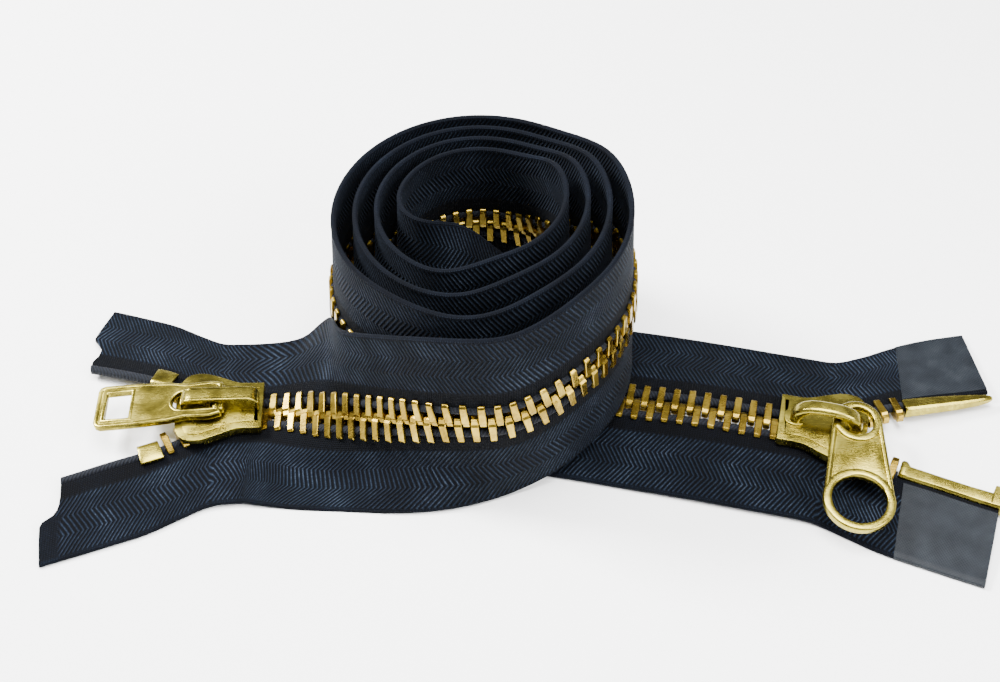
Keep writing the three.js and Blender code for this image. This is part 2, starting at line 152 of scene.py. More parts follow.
# ---- the chain line ---------------------------------------------------------------------------
def chain_rows():
    """x, y, height and the rolls of the teeth, the near tape inside and outside its fold, and the
    far tape inside and outside its fold, from end A to end B."""
    under_z = REST + HALF * math.sin(rad(3.5))
    rows = [
        (*PIVOT_A, FLAT_Z, 0, TILT, TILT, -TILT, -TILT),
        (-47.2, -23.3, 3.05, 0, 7.7, 7.7, -4, -4),
        (-43.6, -24.1, 4.1, 5, 12, 7, 0, 4),
        (-40, -25.2, 5.4, 14, 18, 7, 22, 76),
        (-35.3, -27.4, 7.6, 34, 29, 6, 74, 88),
        (-28.9, -30.6, 11, 54, 52, 5, 86, 89),
        (-22.8, -33.8, 14.2, 68, 69, 15, 87, 88),
        (-16.8, -37, 17.7, 76, 78, 35, 88, 88),
        (-11, -39.4, 20.2, 82, 83, 55, 88, 88),
        (-5, -40.8, 21.5, 85, 86, 73, 88, 88),
    ]
    wall_z = 0.1 + HALF * math.sin(rad(COIL_LEAN))
    for angle in range(COIL_FROM, COIL_TO + 1, COIL_STEP):
        turns = (angle + 90) / 360
        turn = math.floor((angle + 140) / 360)
        local = angle - 360 * turn
        start = -(85 + 10 * turn)
        lift = WALL_LIFT * smooth(start, start + 40, local) * (1 - smooth(20, 60, local))
        dent = COIL_DENT * math.exp(-((angle - DENT_AT) / 25) ** 2)
        a = COIL_A - COIL_A_LOSS * turns - dent
        b = COIL_B - COIL_B_LOSS * turns - dent
        x = COIL_X + a * math.cos(rad(angle))
        y = COIL_Y + COIL_Y_DRIFT * turns + b * math.sin(rad(angle))
        rows.append((x, y, wall_z + lift, *[COIL_LEAN] * 5))
    # The inmost turn leans over, lies down and leaves to the right under the walls.
    descent = [
        (-21.2, -3.6, 87), (-18.8, -9.4, 84), (-13.8, -13, 73), (-8, -14, 54), (-2, -14.4, 34),
        (4, -15, 16),
    ]
    for x, y, roll in descent:
        rows.append((x, y, REST + HALF * math.sin(rad(roll)), *[roll] * 5))
    rows.append((9.5, -15.8, REST + HALF * math.sin(rad(5)), 3, 5.5, 5.5, 0, 0))
    for x, y in ((15, -16.8), (28.6, -19.7)):
        rows.append((x, y, under_z, 0, 3.5, 3.5, -3.5, -3.5))
    for x, y in ((41.6, -22.7), (54.3, -25.7), PIVOT_B):
        rows.append((x, y, FLAT_Z, 0, TILT, TILT, -TILT, -TILT))
    return np.array(rows, float)


def fine_curve(rows, step=0.25):
    """A smooth curve through the rows: arc length, points and rolls every step or so."""
    chord = np.r_[0, np.cumsum(np.linalg.norm(np.diff(rows[:, :3], axis=0), axis=1))]
    slope = np.gradient(rows, chord, axis=0)
    at = np.linspace(0, chord[-1], int(chord[-1] / step) + 1)
    i = np.clip(np.searchsorted(chord, at, side="right") - 1, 0, len(chord) - 2)
    h = (chord[i + 1] - chord[i])[:, None]
    f = (at - chord[i])[:, None] / h
    curve = (
        rows[i] * (1 + 2 * f) * (1 - f) ** 2
        + rows[i + 1] * f * f * (3 - 2 * f)
        + slope[i] * h * f * (1 - f) ** 2
        - slope[i + 1] * h * f * f * (1 - f)
    )
    curve = eased(curve, step)
    arc = np.r_[0, np.cumsum(np.linalg.norm(np.diff(curve[:, :3], axis=0), axis=1))]
    return arc, curve


def eased(curve, step, spread=3.5, fixed=4.0):
    """The curve with its quick changes softened over a few millimetres, its two ends kept."""
    reach = int(3 * spread / step)
    kernel = np.exp(-0.5 * (np.arange(-reach, reach + 1) * step / spread) ** 2)
    kernel /= kernel.sum()
    before = 2 * curve[0] - curve[reach:0:-1]
    after = 2 * curve[-1] - curve[-2:-reach - 2:-1]
    padded = np.concatenate([before, curve, after])
    soft = np.stack([np.convolve(column, kernel, "valid") for column in padded.T], axis=1)
    place = np.arange(len(curve)) * step
    inside = np.minimum(place, place[::-1])
    keep = np.array([1 - smooth(fixed, 4 * fixed, x) for x in inside])[:, None]
    return curve * keep + soft * (1 - keep)


ARC, CURVE = fine_curve(chain_rows())
CHAIN_LENGTH = ARC[-1]
SPLIT = CHAIN_LENGTH / 2


def unit(vectors):
    return vectors / np.linalg.norm(vectors, axis=-1, keepdims=True)


def chain_base(s):
    """Point, tangent, level direction across and rolls at arc lengths s."""
    values = np.stack([np.interp(s, ARC, column) for column in CURVE.T], axis=1)
    before = np.stack([np.interp(s - 0.6, ARC, CURVE[:, k]) for k in range(3)], axis=1)
    after = np.stack([np.interp(s + 0.6, ARC, CURVE[:, k]) for k in range(3)], axis=1)
    t = unit(after - before)
    h = unit(np.stack([-t[:, 1], t[:, 0], np.zeros(len(t))], axis=1))
    return values[:, :3], t, h, np.radians(values[:, 3:])


def chain_grid(s, side, across):
    """Points and face normals at arc lengths s and distances across; side +1 is the far half."""
    p, t, h, rolls = chain_base(s)
    fine = np.arange(0, HALF + 1, 0.1)
    at_bend = np.array([smooth(BEND - 1, BEND + 1, u) for u in fine])
    at_fold = np.array([smooth(FOLD - 4.5, FOLD + 4.5, u) for u in fine])
    inner, outer = (rolls[:, 3], rolls[:, 4]) if side > 0 else (rolls[:, 1], rolls[:, 2])
    roll = rolls[:, :1] + (inner - rolls[:, 0])[:, None] * at_bend
    roll = (roll + (outer - inner)[:, None] * at_fold)[..., None]
    w = np.cos(roll) * h[:, None] + np.sin(roll) * np.array([0, 0, 1.0])
    reach = np.cumsum(w, axis=1) * 0.1 * side
    reach = np.concatenate([np.zeros_like(reach[:, :1]), reach], axis=1)
    k = np.clip(np.array(across) / 0.1, 0, len(fine) - 2)
    low = k.astype(int)
    f = (k - low)[None, :, None]
    points = p[:, None] + reach[:, low] * (1 - f) + reach[:, low + 1] * f
    return points, unit(np.cross(t[:, None], w[:, low]))


# Beside slider A the teeth stay square to the flat tail, and over this stretch they turn with it.
SQUARE_TO = (34, 60)


def chain_frame(s, side):
    """Stiff frames for teeth: point, along, out from the chain line, face normal."""
    p, t, h, rolls = chain_base(np.array(s, float))
    w = np.cos(rolls[:, :1]) * h + np.sin(rolls[:, :1]) * np.cross(t, h)
    w[:, 0] *= eases(*SQUARE_TO, s)
    w = unit(w)
    along = unit(t - np.sum(t * w, axis=1, keepdims=True) * w)
    return p, along, w * side, np.cross(along, w)


# ---- the end flaps ----------------------------------------------------------------------------
# Distances from the pivot over which a flap turns, and over which its weft comes to lean.
TURN, LEAN = (9, 18), (6, 34)
FLAP_STEP = 0.25


def flap_turn(end, d):
    """The direction of a flap's bead line at each distance d, in radians."""
    turn = end["spread"] + (end["settle"] - end["spread"]) * eases(*TURN, d)
    return np.radians(end["head"] + end["side"] * turn)


def flap_frame(name, d, square=False):
    """The same frames along a flap, d from its pivot. Its cut end leans unless square is set."""
    end = ENDS[name]
    d = np.atleast_1d(np.array(d, float))
    steps = np.arange(0, 45, FLAP_STEP)
    middle = flap_turn(end, steps + FLAP_STEP / 2)
    path = np.cumsum(np.stack([np.cos(middle), np.sin(middle)], 1) * FLAP_STEP, axis=0)
    z = FLAT_Z - 0.7 * eases(20, 34, d)
    p = np.stack([
        end["pivot"][axis] + np.interp(d, [0, *(steps + FLAP_STEP)], [0, *path[:, axis]])
        for axis in range(2)
    ] + [z], axis=1)
    along = flap_turn(end, d)
    across = np.radians(end["head"] + end["side"] * (90 + end["square"] * eases(*LEAN, d)))
    if square:
        across = along + end["side"] * math.pi / 2
    tilt = np.arcsin((z - REST) / HALF)
    out = np.stack([np.cos(along), np.sin(along), 0 * d], axis=1)
    w = np.stack([np.cos(across) * np.cos(tilt), np.sin(across) * np.cos(tilt), -np.sin(tilt)], 1)
    return p, out, w, unit(np.cross(out, w)) * end["side"]


# How the two left ends are cut: (distance across, length) along each edge.
CUT_EDGES = {
    "a_far": [(0, 30.2), (2.6, 30.7), (5.2, 31.0), (6.6, 30.2), (8.6, 30.1), (10.2, 30.9),
              (11.6, 32.7), (15.7, 32.1), (21.4, 30.9)],
    "a_near": [(0, 32.4), (7.0, 32.1), (9.4, 32.3), (10.6, 33.0), (11.4, 34.3), (11.8, 35.7),
               (16.5, 35.4), (21.4, 34.9)],
}


def flap_grid(name, d, across):
    """Points, normals and the true distances d at nominal distances d, cut to its edge."""
    end = ENDS[name]
    length = end["length"]
    points, normals, places = [], [], []
    for u in across:
        edge = length
        if name in CUT_EDGES:
            edge = np.interp(u, *zip(*CUT_EDGES[name]))
        pulled = np.array([x - smooth(length - 14, length, x) * (length - edge) for x in d])
        p, _, w, n = flap_frame(name, pulled)
        points.append(p + w * u)
        normals.append(n)
        places.append(pulled)
    return np.stack(points, 1), np.stack(normals, 1), np.stack(places, 1)


# ---- meshes -------------------------------------------------------------------------------------
def mesh_piece(name, verts, faces, material, smooth_angle=40):
    """A mesh object from millimetre coordinates in the CAD's layout."""
    mesh = bpy.data.meshes.new(name)
    mesh.from_pydata(((np.asarray(verts) + np.array(SHIFT)) * MM).tolist(), [], faces)
    mesh.update()
    mesh.polygons.foreach_set("use_smooth", [True] * len(mesh.polygons))
    mesh.set_sharp_from_angle(angle=rad(smooth_angle))
    mesh.materials.append(material)
    obj = bpy.data.objects.new(name, mesh)
    bpy.context.scene.collection.objects.link(obj)
    return obj


def tube_faces(rows, sides):
    """Quads of a tube with open ends, from its vertices row by row."""
    faces = []
    for i in range(rows - 1):
        for j in range(sides):
            a, b = i * sides + j, i * sides + (j + 1) % sides
            faces.append((a, a + sides, b + sides, b))
    return faces


def facing_out(obj):
    bm = bmesh.new()
    bm.from_mesh(obj.data)
    bmesh.ops.recalc_face_normals(bm, faces=bm.faces)
    bm.to_mesh(obj.data)
    bm.free()
    return obj


def strip_rows(end_a, end_b, left, section):
    """Rows of a section swept along one flap and half of the chain, and their weave places."""
    us = [u for u, _ in section]
    ns = np.array([n for _, n in section])[None, :, None]
    name = end_a if left else end_b
    side = 1 if name.endswith("far") else -1
    far_end = ENDS[name].get("cord_to") if len(us) < 12 else ENDS[name]["length"]
    d = np.linspace(0.5, far_end, int(far_end) + 1)
    flap_points, flap_normals, places = flap_grid(name, d, us)
    flap = flap_points + flap_normals * ns
    span = (0.0, SPLIT) if left else (SPLIT, CHAIN_LENGTH)
    s = np.linspace(*span, int((span[1] - span[0]) / 1.0) + 1)
    points, normals = chain_grid(s, side, us)
    chain = points + normals * ns
    chain_places = np.repeat(s[:, None], len(us), axis=1)
    if left:
        rows = np.concatenate([flap[::-1], chain])
        along = np.concatenate([-places[::-1], chain_places])
        turn = len(flap)
    else:
        rows = np.concatenate([chain, flap])
        along = np.concatenate([chain_places, CHAIN_LENGTH + places])
        turn = len(chain)
    return rounded_turn(rows, turn), along


def rounded_turn(rows, at, spread=2.2, reach=5):
    """The sharp turn at the pivot, eased inside the slider."""
    kernel = np.exp(-0.5 * (np.arange(-reach, reach + 1) / spread) ** 2)
    kernel /= kernel.sum()
    out = rows.copy()
    for i in range(at - 2 * reach, at + 2 * reach):
        soft = np.tensordot(kernel, rows[i - reach:i + reach + 1], axes=1)
        keep = smooth(reach / 2, 2 * reach, abs(i + 0.5 - at))
        out[i] = rows[i] * keep + soft * (1 - keep)
    return out


def weave_map(obj, section, places):
    """UVs in millimetres: the distance across the tape and the place along it."""
    uv = np.stack([np.tile([u for u, _ in section], len(places)), places.reshape(-1)], axis=1)
    layer = obj.data.uv_layers.new(name="weave")
    loops = np.zeros(len(obj.data.loops), int)
    obj.data.loops.foreach_get("vertex_index", loops)
    layer.data.foreach_set("uv", uv[loops].astype(np.float32).ravel())


CLEAR = 0.02                              # how far a tape stays above the floor


def strip_piece(name, end_a, end_b, left, section, material):
    rows, along = strip_rows(end_a, end_b, left, section)
    rows[..., 2] = np.maximum(rows[..., 2], CLEAR)
    count, sides = rows.shape[:2]
    faces = tube_faces(count, sides)
    half = sides // 2
    for base in (0, (count - 1) * sides):
        for j in range(half - 1):
            faces.append((base + j, base + j + 1, base + sides - 2 - j, base + sides - 1 - j))
    obj = facing_out(mesh_piece(name, rows.reshape(-1, 3), faces, material, 70))
    weave_map(obj, section, along)
    return obj


def bend_at(obj):
    """Bakes the piece's placement into its mesh."""
    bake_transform(obj)
    return obj


# ---- materials ----------------------------------------------------------------------------------
def material(name, **inputs):
    mat = bpy.data.materials.new(name)
    mat.use_nodes = True
    for key, value in inputs.items():
        mat.node_tree.nodes["Principled BSDF"].inputs[key.replace("_", " ")].default_value = value
    return mat


def node(mat, kind, links=(), **settings):
    """A node with its settings, and links as {input: socket or value}."""
    new = mat.node_tree.nodes.new(kind)
    for key, value in settings.items():
        setattr(new, key, value)
    for key, value in dict(links).items():
        if isinstance(value, bpy.types.NodeSocket):
            mat.node_tree.links.new(value, new.inputs[key])
        else:
            new.inputs[key].default_value = value
    return new


def maths(mat, operation, a, b=0.0, c=0.0):
    return node(mat, "ShaderNodeMath", {0: a, 1: b, 2: c}, operation=operation).outputs[0]


def ramp(mat, factor, stops):
    new = node(mat, "ShaderNodeValToRGB", {0: factor})
    elements = new.color_ramp.elements
    elements[0].position, elements[0].color = stops[0][0], (*stops[0][1], 1)
    elements[1].position, elements[1].color = stops[-1][0], (*stops[-1][1], 1)
    for position, color in stops[1:-1]:
        elements.new(position).color = (*color, 1)
    return new.outputs[0]


def noise(mat, scale, detail=3.0, stretch=(1, 1, 1)):
    coords = node(mat, "ShaderNodeTexCoord").outputs["Object"]
    mapped = node(mat, "ShaderNodeMapping", {"Vector": coords, "Scale": stretch}).outputs[0]
    new = node(mat, "ShaderNodeTexNoise", {"Vector": mapped, "Scale": scale, "Detail": detail})
    return new.outputs[0]


def into(mat, key, socket):
    mat.node_tree.links.new(socket, mat.node_tree.nodes["Principled BSDF"].inputs[key])


def bump(mat, height, distance, strength=1.0):
    new = node(
        mat, "ShaderNodeBump", {"Height": height, "Distance": distance, "Strength": strength},
    )
    into(mat, "Normal", new.outputs[0])


TWILL_FROM, TWILL_BAND, TWILL_PITCH, TWILL_LEAN = 7.6, 4.3, 0.95, 0.62


def twill_material():
    """Navy herringbone tape: slanted ribs that turn at each band, and a plain band by the teeth.
    The ribs' colour carries painted shade in their valleys and a painted highlight on their crowns.
    """
    mat = material("tape_twill", Roughness=0.9, Sheen_Weight=0.01, Sheen_Roughness=0.4,
                   Sheen_Tint=(0.6, 0.7, 0.9, 1), Specular_IOR_Level=0.08)
    uv = node(mat, "ShaderNodeUVMap", uv_map="weave").outputs[0]
    split = node(mat, "ShaderNodeSeparateXYZ", {0: uv})
    u, s = split.outputs[0], split.outputs[1]
    wobble = maths(mat, "MULTIPLY", noise(mat, 180, 2), 0.5)
    zigzag = maths(mat, "PINGPONG", maths(mat, "SUBTRACT", u, TWILL_FROM), TWILL_BAND)
    phase = maths(mat, "ADD", maths(mat, "MULTIPLY_ADD", zigzag, TWILL_LEAN, s), wobble)
    rib = maths(mat, "SINE", maths(mat, "MULTIPLY", phase, 2 * math.pi / TWILL_PITCH))
    rib = maths(mat, "MULTIPLY_ADD", rib, 0.5, 0.5)
    yarn = maths(mat, "SINE", maths(mat, "MULTIPLY", u, 2 * math.pi / 0.42))
    yarn = maths(mat, "MULTIPLY_ADD", yarn, 0.5, 0.5)
    weft = maths(mat, "SINE", maths(mat, "MULTIPLY", s, 2 * math.pi / 0.5))
    weft = maths(mat, "MULTIPLY_ADD", weft, 0.5, 0.5)
    in_twill = node(mat, "ShaderNodeMapRange", {0: u, 1: TWILL_FROM - 0.5, 2: TWILL_FROM + 0.2})
    in_selvage = node(mat, "ShaderNodeMapRange", {0: u, 1: HALF - 0.9, 2: HALF - 0.6})
    fused = node(mat, "ShaderNodeAttribute", attribute_name="fused").outputs["Fac"]
    woven = maths(mat, "SUBTRACT", in_twill.outputs[0], in_selvage.outputs[0])
    woven = maths(mat, "MULTIPLY", woven, maths(mat, "SUBTRACT", 1.0, fused))
    fine = maths(mat, "MULTIPLY", yarn, weft)
    relief = node(
        mat, "ShaderNodeMix", {0: woven, 2: maths(mat, "MULTIPLY", fine, 0.45), 3: rib},
    ).outputs[0]
    specks = noise(mat, 2600, 2)
    cloudy = noise(mat, 130, 4)
    # The weave relief also sets the colour: painted shade in the rib valleys, painted highlight on
    # the rib crowns; specks, cloudy tone, selvage and fused end are the tape's own colour.
    tone_with_painted_shading = maths(mat, "MULTIPLY_ADD", relief, 0.62, maths(mat, "MULTIPLY", specks, 0.42))
    tone_with_painted_shading = maths(mat, "ADD", tone_with_painted_shading, maths(mat, "MULTIPLY_ADD", cloudy, 0.5, -0.32))
    tone_with_painted_shading = maths(mat, "ADD", tone_with_painted_shading, maths(mat, "MULTIPLY", in_selvage.outputs[0], 0.22))
    tone_with_painted_shading = maths(mat, "ADD", tone_with_painted_shading, maths(mat, "MULTIPLY", fused, 0.12))
    # The dark stops carry the painted shade of the rib valleys, the top stop the painted highlight
    # of the rib crowns.
    color = ramp(mat, tone_with_painted_shading, [
        (0.15, (0.0002, 0.0003, 0.0007)), (0.5, (0.0012, 0.0021, 0.0046)),
        (0.75, (0.0060, 0.0100, 0.0180)), (1.0, (0.0420, 0.0560, 0.0800)),
    ])
    into(mat, "Base Color", color)
    height = maths(mat, "MULTIPLY_ADD", fine, 0.25, relief)
    height = maths(mat, "MULTIPLY_ADD", specks, 0.25, height)
    bump(mat, height, 0.00022)
    return mat


def cord_material():
    mat = material("bead_cord", Roughness=0.85, Specular_IOR_Level=0.2)
    uv = node(mat, "ShaderNodeUVMap", uv_map="weave").outputs[0]
    split = node(mat, "ShaderNodeSeparateXYZ", {0: uv})
    lay = maths(mat, "MULTIPLY_ADD", split.outputs[0], 0.7, split.outputs[1])
    twist = maths(mat, "SINE", maths(mat, "MULTIPLY", lay, 2 * math.pi / 0.8))
    twist = maths(mat, "MULTIPLY_ADD", twist, 0.5, 0.5)
    # The twist pattern also sets the colour: painted shade in the twist grooves, over the random
    # tone of the noise.
    tone_with_painted_shading = maths(mat, "MULTIPLY_ADD", noise(mat, 1500), 0.5, maths(mat, "MULTIPLY", twist, 0.5))
    into(mat, "Base Color", ramp(mat, tone_with_painted_shading, [
        (0.2, (0.0010, 0.0013, 0.0024)), (0.9, (0.0060, 0.0080, 0.0135)),
    ]))
    bump(mat, twist, 0.00012)
    return mat


def metal_material(name, dark, mid, light, rough, grain=0.00003):
    """Polished metal with a slight patina, uneven polish and fine scratches."""
    mat = material(name, Metallic=1.0)
    patina = noise(mat, 190, 5)
    scratch = noise(mat, 900, 2, (1, 7, 1))
    pits = noise(mat, 2200, 3)
    tone = maths(mat, "MULTIPLY_ADD", scratch, 0.35, maths(mat, "MULTIPLY", patina, 0.75))
    into(mat, "Base Color", ramp(mat, tone, [(0.32, dark), (0.52, mid), (0.75, light)]))
    level = maths(mat, "MULTIPLY_ADD", patina, 0.28, rough - 0.1)
    into(mat, "Roughness", maths(mat, "MULTIPLY_ADD", scratch, 0.08, level))
    bump(mat, maths(mat, "MULTIPLY_ADD", pits, 0.5, scratch), grain, 0.6)
    return mat


def film_material():
    """Clear film ironed over the tape: grey-blue and glossy, with the weave faint under it."""
    mat = material("end_film", Roughness=0.55, Coat_Weight=0.03, Coat_Roughness=0.3,
                   Specular_IOR_Level=0.13)
    uv = node(mat, "ShaderNodeUVMap", uv_map="weave").outputs[0]
    split = node(mat, "ShaderNodeSeparateXYZ", {0: uv})
    warp = maths(mat, "SINE", maths(mat, "MULTIPLY", split.outputs[0], 2 * math.pi / 0.7))
    weft = maths(mat, "SINE", maths(mat, "MULTIPLY", split.outputs[1], 2 * math.pi / 0.7))
    cells = maths(mat, "MULTIPLY_ADD", maths(mat, "MULTIPLY", warp, weft), 0.5, 0.5)
    tone = maths(mat, "MULTIPLY_ADD", noise(mat, 260, 4), 0.8, maths(mat, "MULTIPLY", cells, 0.2))
    into(mat, "Base Color", ramp(mat, tone, [
        (0.25, (0.002, 0.003, 0.005)), (0.55, (0.007, 0.009, 0.012)), (0.85, (0.016, 0.019, 0.023)),
    ]))
    bump(mat, maths(mat, "MULTIPLY_ADD", noise(mat, 420, 2), 1.5, cells), 0.00008, 0.7)
    return mat


TAPE = twill_material()
CORD = cord_material()
BRASS = metal_material(
    "brass", (0.13, 0.082, 0.010), (0.26, 0.172, 0.022), (0.48, 0.34, 0.055), 0.2,
)
GOLD = metal_material(
    "cast_gold", (0.15, 0.12, 0.018), (0.27, 0.22, 0.035), (0.50, 0.42, 0.075), 0.18,
)
FILM = film_material()

# ---- tapes and cords ----------------------------------------------------------------------------
def tape_section():
    top = [(TAPE_IN, 0.30)]
    for u in np.linspace(TAPE_IN + 0.3, HALF - 1.0, 18):
        top.append((float(u), 0.42))
    top += [(HALF - 0.7, 0.5), (HALF - 0.25, 0.5), (HALF, 0.2)]
    return top + [(u, -n) for u, n in reversed(top)]


def cord_section(sides=10):
    turn = 2 * math.pi / sides
    ring = [(math.cos((i + 0.5) * turn), math.sin((i + 0.5) * turn)) for i in range(sides // 2)]
    top = [(CORD_U - CORD_R * c, CORD_R * s) for c, s in ring]
    return top + [(u, -n) for u, n in reversed(top)]


def build_strips():
    for word in ("far", "near"):
        for left in (True, False):
            name = f"{'a' if left else 'b'}_{word}"
            ends = (f"a_{word}", f"b_{word}", left)
            tape = strip_piece(f"tape_{name}", *ends, tape_section(), TAPE)
            cord = strip_piece(f"cord_{name}", *ends, cord_section(), CORD)
            for piece, node_name in ((tape, "tape"), (cord, "bead_cord")):
                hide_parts(f"{node_name}_{word}")
            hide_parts(f"tape_end_{name}")
            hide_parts(f"cord_end_{name}")
            if name == "a_near":
                fuse_end(tape)
            bend_at(tape)
            bend_at(cord)


def fuse_end(tape, start=31.6, inner=11.4):
    """The last millimetres of the lower left end are fused smooth."""
    uv = tape.data.uv_layers["weave"].data
    values = np.zeros(len(tape.data.vertices), np.float32)
    for loop in tape.data.loops:
        u, s = uv[loop.index].uv
        if -s > start and u > inner - 0.5:
            values[loop.vertex_index] = 1.0
    tape.data.attributes.new("fused", "FLOAT", "POINT").data.foreach_set("value", values)


# ---- teeth --------------------------------------------------------------------------------------
TOOTH_SECTION = [
    (TOOTH_HEAD, 0.5), (TOOTH_HEAD + 0.25, 0.85), (0.1, 1.0), (0.5, TOOTH_T / 2),
    (4.2, TOOTH_T / 2), (TOOTH_OUT, 1.05), (TOOTH_OUT, 0.5), (1.8, 0.48),
]


def tooth_template():
    """One tooth about its own place: x out from the chain line, y along it, z off the tape."""
    outline = TOOTH_SECTION + [(u, -n) for u, n in reversed(TOOTH_SECTION)]
    bm = bmesh.new()
    ring = [bm.verts.new((u, -TOOTH_L / 2, n)) for u, n in outline]
    face = bm.faces.new(ring)
    grown = bmesh.ops.extrude_face_region(bm, geom=[face])["geom"]
    moved = [v for v in grown if isinstance(v, bmesh.types.BMVert)]
    bmesh.ops.translate(bm, verts=moved, vec=(0, TOOTH_L, 0))
    for v in bm.verts:
        narrowing = 0.16 * smooth(2.4, TOOTH_OUT, v.co.x) + 0.12 * smooth(0.6, TOOTH_HEAD, v.co.x)
        v.co.y *= 1.0 - narrowing
    bmesh.ops.recalc_face_normals(bm, faces=bm.faces)
    edges = [e for e in bm.edges if abs(e.calc_face_angle(0)) > rad(50)]
    bmesh.ops.bevel(bm, geom=edges, offset=0.13, segments=1, affect="EDGES", profile=0.5)
    bmesh.ops.triangulate(bm, faces=[f for f in bm.faces if len(f.verts) > 4])
    verts = np.array([v.co for v in bm.verts])
    faces = [tuple(v.index for v in f.verts) for f in bm.faces]
    bm.free()
    return verts, faces


TOOTH = tooth_template()


def teeth_piece(name, frames, body, nodes):
    points, along, out, normal = frames
    verts, faces = TOOTH
    every_vert, every_face = [], []
    rng = np.random.default_rng(len(points) + len(name))
    for i, (p, t, w, n) in enumerate(zip(points, along, out, normal)):
        slip = rng.normal(0, 0.05, 3)
        turn = rng.normal(0, 0.012)
        leant = t + w * turn
        every_vert.append(
            p + (verts[:, :1] + slip[0]) * w + (verts[:, 1:2] + slip[1] * 0.3) * leant
            + verts[:, 2:] * n
        )
        every_face += [tuple(k + i * len(verts) for k in f) for f in faces]
    obj = facing_out(mesh_piece(name, np.concatenate(every_vert), every_face, BRASS, 30))
    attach(obj, body)
    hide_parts(*nodes)
    return obj


def build_teeth():
    for side, word, first in ((1, "far", 2.45), (-1, "near", 0.875)):
        span = CHAIN_LENGTH - 2 * first
        count = round(span / PITCH)
        places = first + np.arange(count + 1) * span / count
        teeth_piece(f"teeth_{word}", chain_frame(places, side), "chain", [f"tooth_row_{word}"])
    for name, end in ENDS.items():
        nodes = [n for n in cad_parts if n.startswith(f"tooth_{name}_")]
        p, out, w, n = flap_frame(name, end["teeth"], square=True)
        teeth_piece(f"teeth_end_{name}", (p, out, w, n), f"end_{name}", nodes)


# ---- metal parts --------------------------------------------------------------------------------
def solid(outline, low, high, holes=(), axis="z"):
    """A prism with holes; axis y turns x-z outlines into plates across the slider."""
    bm = bmesh.new()
    edges = []
    for loop in (outline, *holes):
        ring = [bm.verts.new((x, y, low)) for x, y in loop]
        edges += [bm.edges.new((a, b)) for a, b in zip(ring, ring[1:] + ring[:1])]
    bmesh.ops.triangle_fill(bm, edges=edges, use_beauty=True)
    grown = bmesh.ops.extrude_face_region(bm, geom=bm.faces[:])["geom"]
    moved = [v for v in grown if isinstance(v, bmesh.types.BMVert)]
    bmesh.ops.translate(bm, verts=moved, vec=(0, 0, high - low))
    bmesh.ops.recalc_face_normals(bm, faces=bm.faces)
    if axis == "y":
        bm.transform(Matrix(((1, 0, 0, 0), (0, 0, -1, 0), (0, 1, 0, 0), (0, 0, 0, 1))))
    return bm


def finished(bm, bevel, segments=3):
    """The mesh as (vertices, faces), its hard edges rounded by a Bevel modifier."""
    mesh = bpy.data.meshes.new("draft")
    bm.to_mesh(mesh)
    bm.free()
    obj = bpy.data.objects.new("draft", mesh)
    bpy.context.scene.collection.objects.link(obj)
    if bevel:
        mod = obj.modifiers.new("Bevel", "BEVEL")
        mod.width, mod.segments = bevel, segments
        mod.limit_method, mod.angle_limit = "ANGLE", rad(28)
    deps = bpy.context.evaluated_depsgraph_get()
    done = obj.evaluated_get(deps).to_mesh()
    verts = np.array([v.co for v in done.vertices])
    faces = [tuple(p.vertices) for p in done.polygons]
    bpy.data.objects.remove(obj)
    return verts, faces


def joined(shells):
    verts, faces, base = [], [], 0
    for v, f in shells:
        verts.append(v)
        faces += [tuple(k + base for k in face) for face in f]
        base += len(v)
    return np.concatenate(verts), faces


def posed(shell, turn, move):
    """Turned by a 3x3 matrix, then moved."""
    verts, faces = shell
    return verts @ np.array(turn).T + np.array(move), faces


def on_slider(name, shell, end, body, nodes, mat=None, angle=32):
    """Puts a shell drawn on a slider's own axes where that slider is."""
    pivot, head = (PIVOT_A, HEAD_A) if end == "a" else (PIVOT_B, HEAD_B)
    turn = Matrix.Rotation(rad(head), 3, "Z")
    verts, faces = posed(shell, turn, (*pivot, 0))
    obj = mesh_piece(name, verts, faces, mat or GOLD, angle)
    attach(obj, body)
    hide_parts(*nodes)
    return obj


def arc(cx, cy, r, start, end, count):
    steps = [rad(start + (end - start) * i / count) for i in range(count + 1)]
    return [(cx + r * math.cos(a), cy + r * math.sin(a)) for a in steps]


def circle(cx, cy, r, count=40):
    return arc(cx, cy, r, 0, 360 - 360 / count, count - 1)


def rounded(points, per_side=4):
    """A closed outline with a smooth curve through its points."""
    out = []
    n = len(points)
    for i in range(n):
        p0, p1, p2, p3 = (Vector(points[(i + k) % n]) for k in (-1, 0, 1, 2))
        for j in range(per_side):
            f = j / per_side
            q = 0.5 * (2 * p1 + (p2 - p0) * f + (2 * p0 - 5 * p1 + 4 * p2 - p3) * f * f
                       + (3 * p1 - p0 - 3 * p2 + p3) * f ** 3)
            out.append((q.x, q.y))
    return out


def inset(points, by):
    """An outline moved inward along its corner bisectors; points run counter-clockwise."""
    out = []
    n = len(points)
    for i in range(n):
        before = (Vector(points[i]) - Vector(points[i - 1])).normalized()
        after = (Vector(points[(i + 1) % n]) - Vector(points[i])).normalized()
        bisector = Vector((-before.y - after.y, before.x + after.x))
        scale = by / max(0.35, 0.5 * bisector.length) / max(1e-6, bisector.length)
        out.append((points[i][0] + bisector.x * scale, points[i][1] + bisector.y * scale))
    return out


def slider_outline():
    """The plate seen from above: square tail, flowing shoulders and a rounded mouth."""
    half = [SLIDER_HALF[0]]
    knots = [Vector(p) for p in SLIDER_HALF]
    for i in range(1, len(knots) - 1):
        p0, p1, p2 = knots[i - 1], knots[i], knots[i + 1]
        p3 = knots[min(i + 2, len(knots) - 1)]
        for j in range(3):
            f = j / 3
            q = 0.5 * (2 * p1 + (p2 - p0) * f + (2 * p0 - 5 * p1 + 4 * p2 - p3) * f * f
                       + (3 * p1 - p0 - 3 * p2 + p3) * f ** 3)
            half.append((q.x, q.y))
    half.append(SLIDER_HALF[-1])
    return [(x, -y) for x, y in half] + half[::-1]


